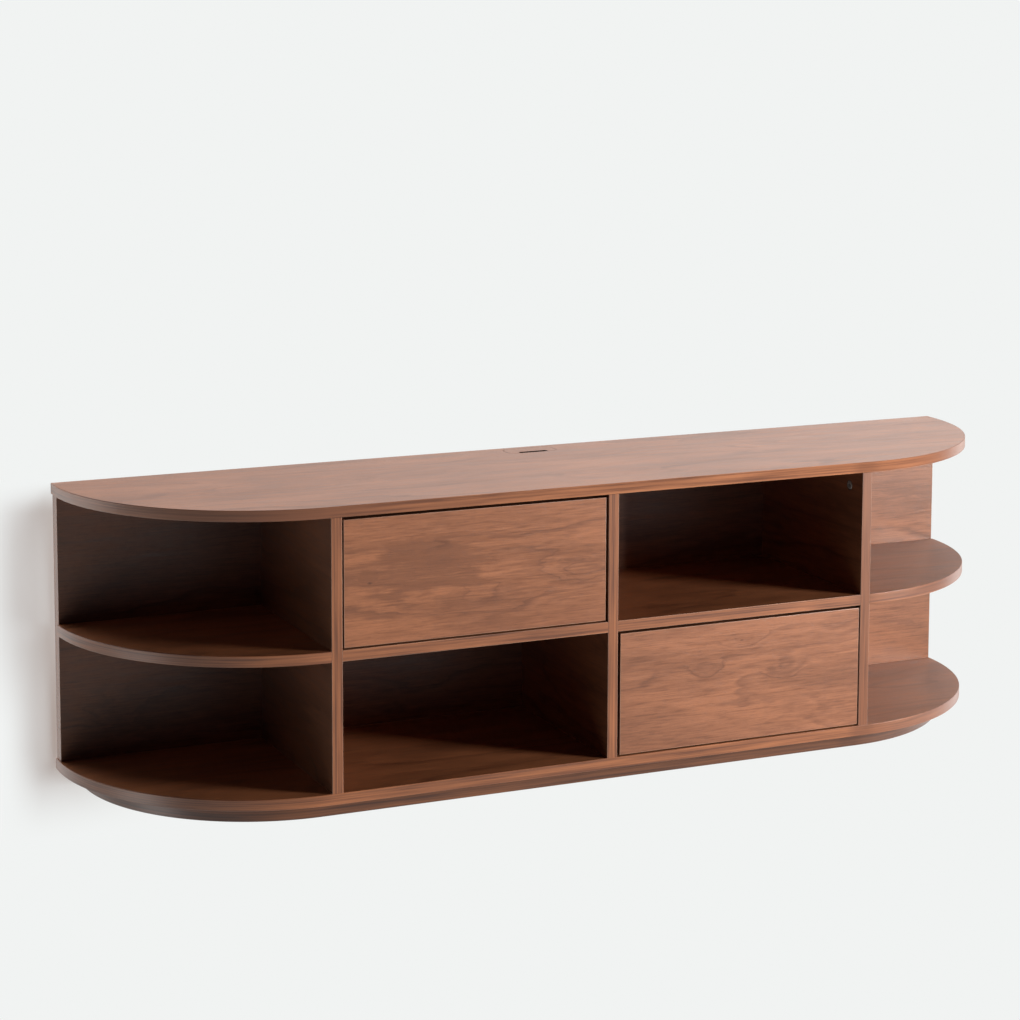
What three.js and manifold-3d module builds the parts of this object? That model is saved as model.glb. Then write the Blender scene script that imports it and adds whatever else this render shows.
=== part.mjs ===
// Wall-hung media console: round-ended top and bottom boards, open quarter-round end shelves,
// and two bays between three dividers, each with one push-to-open drawer and one open niche.
// Millimetres. +X is to the right as seen from the front, the front faces -Y and +Z is up.
// The wall is the plane Y = 0. The origin is the middle of the wall rail's back face.
import * as THREE from "three";
import { mergeVertices } from "three/addons/utils/BufferGeometryUtils.js";
import Module from "manifold-3d";

const wasm = await Module();
wasm.setup();

// Carcass boards
const consoleWidth = 1650;
const consoleDepth = 360;
const boardThickness = 18;
const backThickness = 25;
const backEndInset = 2.5;
const endStraight = 20;
const endLead = 3;
const lowerTierHeight = 208;
const upperTierHeight = 208;
const boardEase = 0.5;
const plinthHeight = 30;
const plinthSetback = 40;

// Cable openings in the carcass
const wayDepth = 50;
const wayHeight = 45;
const wayRadius = 10;
const shelfNotchWidth = 60;
const shelfNotchDepth = 35;
const backHoleWidth = 60;
const backHoleHeight = 30;
const backHoleInset = 60;
const backHoleRise = 35;

// Lift-out cable cover in the top
const coverWidth = 90;
const coverDepth = 40;
const coverThickness = 6;
const coverRadius = 12;
const coverFromWall = 14;
const coverClearance = 0.5;
const coverLedge = 6;
const slotWidth = 52;
const slotDepth = 10;
const slotRadius = 4;

// Drawers
const frontThickness = 18;
const frontGap = 3.5;
const latchSpace = 67;
const boxHeight = 150;
const boxSideThickness = 12;
const boxBackThickness = 12;
const boxBottomThickness = 6;
const boxBottomRise = 10;
const grooveDepth = 6;
const grooveClearance = 0.5;

// Telescopic runners, folded from steel strip
const runnerThickness = 12.5;
const runnerHeight = 45;
const runnerSetback = 5;
const runnerSheet = 1.25;
const runnerGap = 0.3;
const runnerLip = 5;
const runnerNeckClearance = 0.5;
const middleShortfall = 10;
const middleSetback = 4;
const runnerHoleRadius = 2.5;
const runnerHoleInset = 35;
const accessHoleRadius = 5;

// Push latches behind the drawers
const flangeWidth = 44;
const flangeHeight = 24;
const flangeThickness = 3;
const flangeRadius = 5;
const barrelRadius = 9;
const barrelWall = 3;
const plungerRadius = 4;
const plungerClearance = 0.3;
const plungerEndGap = 2;
const plungerShow = 7;
const tipRadius = 7;
const tipLength = 5;
const tipEase = 1;
const tipGap = 3;

// Interlocking hanging rails in a groove in the back
const railLength = 1300;
const railSheet = 2;
const railFlatHeight = 22;
const railHookHeight = 12;
const railHookClearance = 0.3;
const railLiftRoom = 14;
const railHeadRoom = 2;
const railGrooveDepth = 7;
const railGrooveDrop = 7;
const railGrooveEnd = 60;

// Cam fasteners in the dividers
const camRadius = 7.5;
const camDepth = 12.5;
const camClearance = 0.3;
const camEase = 0.5;
const camFromFront = 42;
const camFromBack = 80;
const camFromEnd = 28;
const camCrossLength = 9;
const camCrossWidth = 1.75;
const camCrossDepth = 2;

// Modelling values
const arcTolerance = 0.05;
const gridStep = 1 / 64;
const overrun = 5;
const samePoint = 0.001;
const fewestArcSteps = 4;
const quarterTurn = Math.PI / 2;

// Heights, depths and widths that follow from the sizes above
const innerDepth = consoleDepth - backThickness;
const endRadius = consoleDepth - endStraight;
const endLength = endRadius + endLead;
const bayWidth = (consoleWidth - 2 * endLength - 3 * boardThickness) / 2;
const dividerPitch = bayWidth + boardThickness;
const lowerFloor = boardThickness;
const shelfUnderside = lowerFloor + lowerTierHeight;
const upperFloor = shelfUnderside + boardThickness;
const topUnderside = upperFloor + upperTierHeight;
const dividerHeight = topUnderside - lowerFloor;
const railGrooveHeight = railLiftRoom + 2 * railFlatHeight + railHookHeight + railHeadRoom;
const grooveFloor = topUnderside - railGrooveDrop - railGrooveHeight;
const railZero = grooveFloor + railLiftRoom + railFlatHeight;
const originHeight = railZero - railFlatHeight / 2;
const boxWidth = bayWidth - 2 * runnerThickness;
const boxDepth = innerDepth - frontThickness - latchSpace;
const frontBack = -consoleDepth + frontThickness;
const barrelLength = latchSpace - flangeThickness - plungerShow - tipLength - tipGap;
const coverCentre = -coverFromWall - coverDepth / 2;

// Finishes
const finishes = {
  walnut: { color: 0xa46c50, roughness: 0.48, metalness: 0 },
  darkWalnut: { color: 0x6e4234, roughness: 0.55, metalness: 0 },
  drawerBoard: { color: 0xb98a66, roughness: 0.55, metalness: 0 },
  zincSteel: { color: 0xc3c7ca, roughness: 0.34, metalness: 1 },
  castZinc: { color: 0xd6d2cc, roughness: 0.45, metalness: 0.6 },
  greyPlastic: { color: 0x4a4d50, roughness: 0.6, metalness: 0 },
  rubber: { color: 0x202224, roughness: 0.85, metalness: 0 },
};

// Outlines
function arc(x, y, radius, from, to) {
  const step = 2 * Math.acos(1 - arcTolerance / radius);
  const count = Math.max(fewestArcSteps, Math.ceil(Math.abs(to - from) / step));
  const curve = new THREE.EllipseCurve(x, y, radius, radius, from, to, to < from);
  return curve.getPoints(count);
}

function circle(radius) {
  return arc(0, 0, radius, 0, 4 * quarterTurn);
}

function rectangle(width, height) {
  return [
    new THREE.Vector2(0, 0),
    new THREE.Vector2(width, 0),
    new THREE.Vector2(width, height),
    new THREE.Vector2(0, height),
  ];
}

function roundedRectangle(width, height, radius) {
  const x = width / 2 - radius;
  const y = height / 2 - radius;
  return [
    ...arc(-x, -y, radius, 2 * quarterTurn, 3 * quarterTurn),
    ...arc(x, -y, radius, 3 * quarterTurn, 4 * quarterTurn),
    ...arc(x, y, radius, 0, quarterTurn),
    ...arc(-x, y, radius, quarterTurn, 2 * quarterTurn),
  ];
}

// A rectangle from 0, 0 whose far corner is cut away, with a round inner corner.
function notchedRectangle(width, height, notchWidth, notchHeight, radius) {
  const x = width - notchWidth;
  const y = height - notchHeight;
  return [
    new THREE.Vector2(0, 0),
    new THREE.Vector2(width, 0),
    new THREE.Vector2(width, y),
    ...arc(x + radius, y + radius, radius, 3 * quarterTurn, 2 * quarterTurn),
    new THREE.Vector2(x, height),
    new THREE.Vector2(0, height),
  ];
}

// The plan of the top, the bottom and the plinth: a short straight stretch at the wall,
// then a quarter circle at each end.
function roundEndPlan(setback) {
  const radius = endRadius - setback;
  const x = consoleWidth / 2 - setback;
  return [
    new THREE.Vector2(-x, 0),
    ...arc(radius - x, -endStraight, radius, 2 * quarterTurn, 3 * quarterTurn),
    ...arc(x - radius, -endStraight, radius, 3 * quarterTurn, 4 * quarterTurn),
    new THREE.Vector2(x, 0),
  ];
}

// The plan of an end shelf, from the divider and the back outwards. Its rim lies under the top's.
function endShelfPlan() {
  const centre = backThickness - endStraight;
  const last = -Math.asin(Math.max(centre, 0) / endRadius);
  const rim = arc(endLead, centre, endRadius, -quarterTurn, last);
  return [
    new THREE.Vector2(0, rim[0].y),
    ...rim,
    new THREE.Vector2(rim.at(-1).x, 0),
    new THREE.Vector2(0, 0),
  ];
}

function mirrored(points) {
  return points.map((p) => new THREE.Vector2(-p.x, p.y));
}

function moved(points, x, y) {
  return points.map((p) => new THREE.Vector2(p.x + x, p.y + y));
}

// The section of a folded strip: the path is one face, and the other lies a thickness to its right.
function foldedStrip(path, thickness) {
  const normals = path.slice(1).map((p, i) => {
    const along = p.clone().sub(path[i]).normalize();
    return new THREE.Vector2(along.y, -along.x);
  });
  const far = path.map((p, i) => {
    const before = normals[Math.max(i - 1, 0)];
    const after = normals[Math.min(i, normals.length - 1)];
    const bisector = before.clone().add(after);
    const reach = (2 * thickness) / bisector.lengthSq();
    return p.clone().addScaledVector(bisector, reach);
  });
  return [...path, ...far.reverse()];
}

function distinct(points) {
  return points.filter((p, i) => {
    const next = points[(i + 1) % points.length];
    return p.distanceTo(next) > samePoint;
  });
}

// Solids
function extruded(points, depth, ease = 0, holes = []) {
  const shape = new THREE.Shape(distinct(points));
  shape.holes = holes.map((hole) => new THREE.Path(distinct(hole)));
  const geometry = new THREE.ExtrudeGeometry(shape, {
    depth: depth - 2 * ease,
    bevelEnabled: ease > 0,
    bevelThickness: ease,
    bevelSize: ease,
    bevelOffset: -ease,
    bevelSegments: 1,
    curveSegments: 1,
  });
  return geometry.translate(0, 0, ease);
}

function axesTo(right, up, along) {
  return new THREE.Matrix4().makeBasis(right, up, along);
}

const plusX = new THREE.Vector3(1, 0, 0);
const plusY = new THREE.Vector3(0, 1, 0);
const minusY = new THREE.Vector3(0, -1, 0);
const plusZ = new THREE.Vector3(0, 0, 1);

// A plan in X and Y, extruded upwards.
function lyingBoard(points, thickness, ease, holes) {
  return extruded(points, thickness, ease, holes);
}

// An outline in Y and Z, extruded towards +X.
function sideBoard(points, thickness, ease, holes) {
  return extruded(points, thickness, ease, holes).applyMatrix4(axesTo(plusY, plusZ, plusX));
}

// An outline in X and Z, extruded towards the front.
function frontBoard(points, thickness, ease, holes) {
  return extruded(points, thickness, ease, holes).applyMatrix4(axesTo(plusX, plusZ, minusY));
}

function block(width, depth, height) {
  return new THREE.BoxGeometry(width, depth, height);
}

// A profile of radius and Y, turned about the Y axis.
function turned(profile) {
  const radius = Math.max(...profile.map((p) => p.x));
  const steps = Math.ceil((2 * quarterTurn) / Math.acos(1 - arcTolerance / radius));
  return new THREE.LatheGeometry(profile, Math.max(fewestArcSteps, steps));
}

function solidOf(geometry) {
  const bare = new THREE.BufferGeometry();
  bare.setAttribute("position", geometry.getAttribute("position"));
  bare.setIndex(geometry.index);
  const merged = mergeVertices(bare, samePoint);
  return new wasm.Manifold(
    new wasm.Mesh({
      numProp: 3,
      vertProperties: merged.getAttribute("position").array,
      triVerts: new Uint32Array(merged.index.array),
    }),
  );
}

function geometryOf(solid) {
  const mesh = solid.getMesh();
  const geometry = new THREE.BufferGeometry();
  geometry.setAttribute("position", new THREE.BufferAttribute(mesh.vertProperties, mesh.numProp));
  geometry.setIndex(new THREE.BufferAttribute(mesh.triVerts, 1));
  const faceted = geometry.toNonIndexed();
  faceted.computeVertexNormals();
  return faceted;
}

function cut(geometry, ...tools) {
  const solid = tools.reduce((rest, tool) => rest.subtract(solidOf(tool)), solidOf(geometry));
  return geometryOf(solid);
}

function joined(geometry, ...others) {
  const solid = others.reduce((sum, other) => sum.add(solidOf(other)), solidOf(geometry));
  return geometryOf(solid);
}

function piece(name, finish, geometry, x, y, z) {
  const mesh = new THREE.Mesh(geometry, new THREE.MeshStandardMaterial(finishes[finish]));
  mesh.name = name;
  mesh.position.set(x, y, z);
  return mesh;
}

// Carcass
function topPanel() {
  const board = lyingBoard(roundEndPlan(0), boardThickness, boardEase);
  const pocketPlan = roundedRectangle(
    coverWidth + 2 * coverClearance,
    coverDepth + 2 * coverClearance,
    coverRadius + coverClearance,
  );
  const pocket = lyingBoard(pocketPlan, coverThickness + overrun);
  pocket.translate(0, coverCentre, boardThickness - coverThickness);
  const wellDepth = coverDepth + coverClearance - coverLedge;
  const well = lyingBoard(
    roundedRectangle(coverWidth - 2 * coverLedge, wellDepth, coverRadius),
    boardThickness + 2 * overrun,
  );
  well.translate(0, -coverFromWall - coverLedge - wellDepth / 2, -overrun);
  return piece("top_panel", "walnut", cut(board, pocket, well), 0, 0, topUnderside);
}

function cableCover() {
  const plate = lyingBoard(
    roundedRectangle(coverWidth, coverDepth, coverRadius),
    coverThickness,
    boardEase,
  );
  const slot = lyingBoard(
    roundedRectangle(slotWidth, 2 * slotDepth, slotRadius),
    coverThickness + 2 * overrun,
  );
  slot.translate(0, -coverDepth / 2, -overrun);
  const seat = topUnderside + boardThickness - coverThickness;
  return piece("cable_cover", "walnut", cut(plate, slot), 0, coverCentre, seat);
}

function bottomPanel() {
  return piece(
    "bottom_panel",
    "walnut",
    lyingBoard(roundEndPlan(0), boardThickness, boardEase),
    0,
    0,
    0,
  );
}

function plinthBoard() {
  return piece(
    "plinth_board",
    "darkWalnut",
    lyingBoard(roundEndPlan(plinthSetback), plinthHeight, boardEase),
    0,
    0,
    -plinthHeight,
  );
}

function backPanel() {
  const width = consoleWidth - 2 * backEndInset;
  const hole = roundedRectangle(backHoleWidth, backHoleHeight, backHoleHeight / 2);
  const lowerNiche = -dividerPitch + boardThickness / 2 + backHoleInset;
  const upperNiche = boardThickness / 2 + backHoleInset;
  const holes = [
    moved(hole, lowerNiche, backHoleRise),
    moved(hole, upperNiche, upperFloor - lowerFloor + backHoleRise),
  ];
  const outline = moved(rectangle(width, dividerHeight), -width / 2, 0);
  const board = frontBoard(outline, backThickness, boardEase, holes);
  const groove = block(railLength + 2 * railGrooveEnd, 2 * railGrooveDepth, railGrooveHeight);
  groove.translate(0, 0, grooveFloor + railGrooveHeight / 2 - lowerFloor);
  return piece("back_panel", "walnut", cut(board, groove), 0, 0, lowerFloor);
}

function dividerOutline(side) {
  return side === 0
    ? notchedRectangle(innerDepth, dividerHeight, wayDepth, wayHeight, wayRadius)
    : rectangle(innerDepth, dividerHeight);
}

// A divider with its four cams on the face towards a bay.
function divider(name, side) {
  const group = new THREE.Group();
  group.position.set(side * dividerPitch, -consoleDepth, lowerFloor);
  const inward = side > 0 ? -1 : 1;
  const face = (inward * boardThickness) / 2;
  const hollow = camDepth + overrun;
  const holeStart = inward > 0 ? face - camDepth : face - overrun;
  const camStart = inward > 0 ? face - camDepth : face;
  const places = [
    ["top_front", camFromFront, dividerHeight - camFromEnd],
    ["top_rear", innerDepth - camFromBack, dividerHeight - camFromEnd],
    ["bottom_front", camFromFront, camFromEnd],
    ["bottom_rear", innerDepth - camFromBack, camFromEnd],
  ];
  const board = sideBoard(dividerOutline(side), boardThickness, boardEase);
  board.translate(-boardThickness / 2, 0, 0);
  const holes = places.map(([, y, z]) =>
    sideBoard(circle(camRadius + camClearance), hollow).translate(holeStart, y, z),
  );
  group.add(piece(`${name}_divider`, "walnut", cut(board, ...holes), 0, 0, 0));
  places.forEach(([place, y, z]) => {
    group.add(piece(`${name}_cam_${place}`, "castZinc", cam(inward), camStart, y, z));
  });
  return group;
}

// A cam's body lies towards +X of its own origin, or its face does when it looks towards -X.
function cam(inward) {
  const body = sideBoard(circle(camRadius), camDepth, camEase);
  const face = inward > 0 ? camDepth : 0;
  const upright = block(2 * camCrossDepth, camCrossWidth, camCrossLength).translate(face, 0, 0);
  const level = block(2 * camCrossDepth, camCrossLength, camCrossWidth).translate(face, 0, 0);
  return cut(body, upright, level);
}

function endShelf(name, side) {
  const plan = side > 0 ? endShelfPlan() : mirrored(endShelfPlan());
  const x = side * (dividerPitch + boardThickness / 2);
  const board = lyingBoard(plan, boardThickness, boardEase);
  return piece(name, "walnut", board, x, -backThickness, shelfUnderside);
}

function bayShelf(name, side) {
  const plan =
    side < 0
      ? notchedRectangle(bayWidth, innerDepth, shelfNotchWidth, shelfNotchDepth, wayRadius)
      : rectangle(bayWidth, innerDepth);
  const x = (side * dividerPitch) / 2 - bayWidth / 2;
  const board = lyingBoard(plan, boardThickness, boardEase);
  return piece(name, "walnut", board, x, -consoleDepth, shelfUnderside);
}

// Hanging rails
function railStrip(path) {
  const length = railLength;
  const section = foldedStrip(
    path.map(([depth, z]) => new THREE.Vector2(-depth, z)),
    railSheet,
  );
  return sideBoard(section, length).translate(-length / 2, 0, 0);
}

// The wall's rail stands up in a hook, seen from the lip down to the foot.
function wallRail() {
  const hook = railSheet + 2 * railHookClearance;
  const path = [
    [hook, railHookHeight],
    [hook, 0],
    [0, 0],
    [0, -railFlatHeight],
  ];
  return piece("wall_rail", "zincSteel", railStrip(path), 0, 0, railZero);
}

// The panel's rail hangs its lip between the wall and the hook, seen from the head down.
function panelRail() {
  const lipFace = railHookClearance;
  const flatFace = railGrooveDepth - railSheet;
  const shelf = railHookHeight + railSheet;
  const path = [
    [flatFace, shelf + railFlatHeight - railSheet],
    [flatFace, shelf],
    [lipFace, shelf],
    [lipFace, railHookClearance],
  ];
  return piece("panel_rail", "zincSteel", railStrip(path), 0, 0, railZero);
}

// Runners: three nested sections that slide in each other, drawn for the left side of a bay
function runnerSections() {
  const half = runnerHeight / 2;
  const step = runnerSheet + runnerGap;
  const fixedDepth = runnerThickness - runnerSheet - runnerGap;
  const middleHalf = half - step;
  const middleDepth = fixedDepth - step;
  const middleLip = middleHalf - (half - runnerLip) + runnerGap;
  const boxHalf = middleHalf - step;
  const neckHalf = middleHalf - middleLip - runnerNeckClearance;
  const foot = 2 * step + runnerSheet;
  return {
    fixed: foldedChannel(0, fixedDepth, half, runnerLip),
    middle: foldedChannel(step, middleDepth, middleHalf, middleLip),
    box: foldedHat(foot, runnerThickness, boxHalf, neckHalf),
  };
}

// A channel that opens towards the drawer, with lips turned in.
function foldedChannel(back, front, half, lip) {
  const path = [
    [front, lip - half],
    [front, -half],
    [back, -half],
    [back, half],
    [front, half],
    [front, half - lip],
  ];
  return foldedStrip(path.map(([x, z]) => new THREE.Vector2(x, z)), runnerSheet);
}

// A hat section with its crown on the drawer and its brim inside the middle channel.
function foldedHat(brim, crown, brimHalf, neckHalf) {
  const path = [
    [brim, brimHalf],
    [brim, neckHalf],
    [crown, neckHalf],
    [crown, -neckHalf],
    [brim, -neckHalf],
    [brim, -brimHalf],
  ];
  return foldedStrip(path.map(([x, z]) => new THREE.Vector2(x, z)), runnerSheet);
}

function crossHole(radius, distance) {
  const length = runnerThickness + 2 * overrun;
  return sideBoard(circle(radius), length).translate(-length / 2, -distance, 0);
}

// One member of a runner, from its rear end at Y = 0 towards the front.
function member(section, length, side, holeRadius) {
  const outline = side < 0 ? section : mirrored(section);
  const strip = frontBoard(outline, length);
  const holes = [runnerHoleInset, length - runnerHoleInset].map((distance) =>
    crossHole(holeRadius, distance),
  );
  return cut(strip, ...holes);
}

// Drawers: X is counted from the middle of the bay and Z from the floor under the drawer
function runner(name, side, tierHeight) {
  const sections = runnerSections();
  const group = new THREE.Group();
  group.position.set((side * bayWidth) / 2, 0, tierHeight / 2);
  const rear = (setback, length) => frontBack + setback + length;
  const members = [
    ["fixed", runnerSetback, boxDepth, runnerHoleRadius],
    ["middle", middleSetback, boxDepth - middleShortfall, accessHoleRadius],
    ["box", 0, boxDepth, runnerHoleRadius],
  ];
  members.forEach(([kind, setback, length, radius]) => {
    const strip = member(sections[kind], length, side, radius);
    const y = rear(setback, length);
    group.add(piece(`${name}_${kind}_member`, "zincSteel", strip, 0, y, 0));
  });
  return group;
}

function boxSide(name, side, z) {
  const board = sideBoard(rectangle(boxDepth, boxHeight), boxSideThickness, boardEase);
  const inner = side < 0 ? boxSideThickness : 0;
  const height = boxBottomThickness + grooveClearance;
  const groove = block(2 * grooveDepth, boxDepth + 2 * overrun, height);
  groove.translate(inner, boxDepth / 2, boxBottomRise + height / 2);
  const x = side < 0 ? -boxWidth / 2 : boxWidth / 2 - boxSideThickness;
  return piece(name, "drawerBoard", cut(board, groove), x, frontBack, z);
}

function drawer(name, bayCentre, floor, tierHeight) {
  const group = new THREE.Group();
  group.position.set(bayCentre, 0, floor);
  const frontWidth = bayWidth - 2 * frontGap;
  const frontHeight = tierHeight - 2 * frontGap;
  const front = frontBoard(rectangle(frontWidth, frontHeight), frontThickness, boardEase);
  group.add(piece(`${name}_front`, "walnut", front, -frontWidth / 2, frontBack, frontGap));

  const z = (tierHeight - boxHeight) / 2;
  group.add(boxSide(`${name}_left_side`, -1, z));
  group.add(boxSide(`${name}_right_side`, 1, z));

  const innerWidth = boxWidth - 2 * boxSideThickness;
  const bottomWidth = innerWidth + 2 * (grooveDepth - grooveClearance);
  const bottom = lyingBoard(rectangle(bottomWidth, boxDepth), boxBottomThickness, 0);
  const bottomZ = z + boxBottomRise;
  group.add(piece(`${name}_bottom`, "drawerBoard", bottom, -bottomWidth / 2, frontBack, bottomZ));

  const backZ = bottomZ + boxBottomThickness;
  const backHeight = z + boxHeight - backZ;
  const back = frontBoard(rectangle(innerWidth, backHeight), boxBackThickness, boardEase);
  const rear = frontBack + boxDepth;
  group.add(piece(`${name}_back`, "drawerBoard", back, -innerWidth / 2, rear, backZ));

  group.add(runner(`${name}_left`, -1, tierHeight));
  group.add(runner(`${name}_right`, 1, tierHeight));
  group.add(latch(name, tierHeight));
  return group;
}

// The latch's barrel stands out from the back panel, and its plunger slides in the barrel.
function latch(name, tierHeight) {
  const group = new THREE.Group();
  group.position.set(0, -backThickness, tierHeight / 2);
  const bore = plungerRadius + plungerClearance;
  const mouth = -flangeThickness - barrelLength;
  const boreEnd = -barrelWall;
  const barrel = turned([
    new THREE.Vector2(0, -flangeThickness / 2),
    new THREE.Vector2(0, boreEnd),
    new THREE.Vector2(bore, boreEnd),
    new THREE.Vector2(bore, mouth),
    new THREE.Vector2(barrelRadius, mouth),
    new THREE.Vector2(barrelRadius, -flangeThickness / 2),
    new THREE.Vector2(0, -flangeThickness / 2),
  ]);
  const flange = frontBoard(
    roundedRectangle(flangeWidth, flangeHeight, flangeRadius),
    flangeThickness,
    boardEase,
  );
  const housing = joined(flange, barrel);
  group.add(piece(`${name}_latch_housing`, "greyPlastic", housing, 0, 0, 0));

  const tipFace = tipGap - latchSpace;
  const shoulder = tipFace + tipLength;
  const plunger = turned([
    new THREE.Vector2(0, boreEnd - plungerEndGap),
    new THREE.Vector2(0, tipFace),
    new THREE.Vector2(tipRadius - tipEase, tipFace),
    new THREE.Vector2(tipRadius, tipFace + tipEase),
    new THREE.Vector2(tipRadius, shoulder),
    new THREE.Vector2(plungerRadius, shoulder),
    new THREE.Vector2(plungerRadius, boreEnd - plungerEndGap),
    new THREE.Vector2(0, boreEnd - plungerEndGap),
  ]);
  group.add(piece(`${name}_latch_plunger`, "rubber", plunger, 0, 0, 0));
  return group;
}

// Puts every piece and corner on a fine grid, so that faces that touch share the same numbers.
function settleOnGrid(root) {
  const onGrid = (value) => Math.round(value / gridStep) * gridStep;
  root.traverse((object) => {
    const { x, y, z } = object.position;
    object.position.set(onGrid(x), onGrid(y), onGrid(z));
  });
  root.updateMatrixWorld(true);
  root.traverse((object) => {
    if (!object.isMesh) return;
    const origin = new THREE.Vector3().setFromMatrixPosition(object.matrixWorld);
    const corners = object.geometry.getAttribute("position");
    for (let i = 0; i < corners.count; i++) {
      corners.setXYZ(
        i,
        onGrid(corners.getX(i) + origin.x) - origin.x,
        onGrid(corners.getY(i) + origin.y) - origin.y,
        onGrid(corners.getZ(i) + origin.z) - origin.z,
      );
    }
    object.geometry.computeVertexNormals();
  });
}

function mediaConsole() {
  const group = new THREE.Group();
  group.position.set(0, 0, -originHeight);
  group.add(topPanel(), cableCover(), bottomPanel(), plinthBoard(), backPanel());
  group.add(divider("left", -1), divider("centre", 0), divider("right", 1));
  group.add(endShelf("left_end_shelf", -1), endShelf("right_end_shelf", 1));
  group.add(bayShelf("left_bay_shelf", -1), bayShelf("right_bay_shelf", 1));
  group.add(wallRail(), panelRail());
  group.add(drawer("left_drawer", -dividerPitch / 2, upperFloor, upperTierHeight));
  group.add(drawer("right_drawer", dividerPitch / 2, lowerFloor, lowerTierHeight));
  settleOnGrid(group);
  return group;
}

export default mediaConsole();
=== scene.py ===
"""Boards, drawers, fittings and studio of a wall-hung media console, in metres.

+X is to the right as seen from the front, the front faces -Y and +Z is up. The wall is Y = 0.
"""

import math

import bmesh
import bpy
from bpy.props import FloatProperty, FloatVectorProperty, IntProperty, PointerProperty
from mathutils import Matrix, Vector
from mathutils.geometry import tessellate_polygon


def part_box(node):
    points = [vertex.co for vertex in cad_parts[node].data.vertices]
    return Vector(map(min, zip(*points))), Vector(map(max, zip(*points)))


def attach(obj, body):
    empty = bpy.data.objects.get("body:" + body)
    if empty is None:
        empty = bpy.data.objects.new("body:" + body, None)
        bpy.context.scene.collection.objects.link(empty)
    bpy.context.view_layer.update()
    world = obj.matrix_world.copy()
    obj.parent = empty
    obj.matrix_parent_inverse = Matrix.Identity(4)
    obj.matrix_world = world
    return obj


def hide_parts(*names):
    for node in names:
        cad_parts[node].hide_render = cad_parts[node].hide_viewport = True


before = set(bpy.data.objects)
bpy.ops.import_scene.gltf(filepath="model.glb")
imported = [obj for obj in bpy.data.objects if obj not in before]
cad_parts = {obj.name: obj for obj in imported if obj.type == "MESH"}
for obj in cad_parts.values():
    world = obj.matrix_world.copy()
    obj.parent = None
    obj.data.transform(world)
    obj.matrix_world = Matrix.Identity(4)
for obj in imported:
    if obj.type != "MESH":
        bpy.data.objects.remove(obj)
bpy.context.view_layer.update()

bl_info = {
    "name": "Wall-hung media console",
    "version": (1, 0, 0),
    "blender": (4, 5, 0),
    "location": "View3D > Sidebar > Console",
    "description": "Makes the boards, drawers, fittings and studio of a wall-hung media console",
    "category": "Object",
}

QUARTER = math.pi / 2
GRAIN_MAP = "grain"
FACE, BAND, CUT, ARRIS = range(4)
X, Y, Z = (1, 0, 0), (0, 1, 0), (0, 0, 1)
FRONTWARDS = (0, -1, 0)
SIDES = ("left", "right")
DIVIDERS = ("left", "centre", "right")
CAM_PLACES = ("top_front", "top_rear", "bottom_front", "bottom_rear")
SHARP_ANGLE = math.radians(35)

# From one board's stretch of veneer to the next, along and across the grain
VENEER_STEP = (1.37, 0.61)


# Outlines


def arc(x, y, radius, start, end, steps):
    angles = [start + (end - start) * i / steps for i in range(steps + 1)]
    return [Vector((x + radius * math.cos(a), y + radius * math.sin(a))) for a in angles]


def circle(x, y, radius, steps=40):
    return arc(x, y, radius, 0, 4 * QUARTER, steps)[:-1]


def rectangle(low, high):
    return [Vector(p) for p in (low, (high[0], low[1]), high, (low[0], high[1]))]


def rounded_rectangle(low, high, radius, steps=8):
    centres = [
        (high[0] - radius, low[1] + radius),
        (high[0] - radius, high[1] - radius),
        (low[0] + radius, high[1] - radius),
        (low[0] + radius, low[1] + radius),
    ]
    loop = []
    for turn, (x, y) in enumerate(centres, -1):
        loop += arc(x, y, radius, turn * QUARTER, (turn + 1) * QUARTER, steps)
    return loop


def notched_rectangle(low, high, notch, radius, steps=6):
    """A rectangle whose far corner is cut away, with a round inner corner."""
    x, y = high[0] - notch[0], high[1] - notch[1]
    return [
        *map(Vector, (low, (high[0], low[1]), (high[0], y))),
        *arc(x + radius, y + radius, radius, 3 * QUARTER, 2 * QUARTER, steps),
        *map(Vector, ((x, high[1]), (low[0], high[1]))),
    ]


def cross_outline(arm, half):
    """Outline of a cross recess round its centre."""
    corners = [
        (arm, -half), (arm, half), (half, half), (half, arm), (-half, arm), (-half, half),
        (-arm, half), (-arm, -half), (-half, -half), (-half, -arm), (half, -arm), (half, -half),
    ]
    return [Vector(p) for p in corners]


def turned_to(loop, anticlockwise):
    """The loop, reversed if it runs the other way."""
    area = sum(a.cross(b) for a, b in zip(loop, loop[1:] + loop[:1]))
    return loop if (area > 0) == anticlockwise else loop[::-1]


def inset(loop, distance):
    """The loop moved to its left, which is into the board for a rim and for a hole alike."""
    moved = []
    for i, point in enumerate(loop):
        before = (point - loop[i - 1]).normalized()
        after = (loop[(i + 1) % len(loop)] - point).normalized()
        middle = Vector((-before.y, before.x)) + Vector((-after.y, after.x))
        moved.append(point + middle * (2 * distance / middle.length_squared))
    return moved


# Boards


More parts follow.
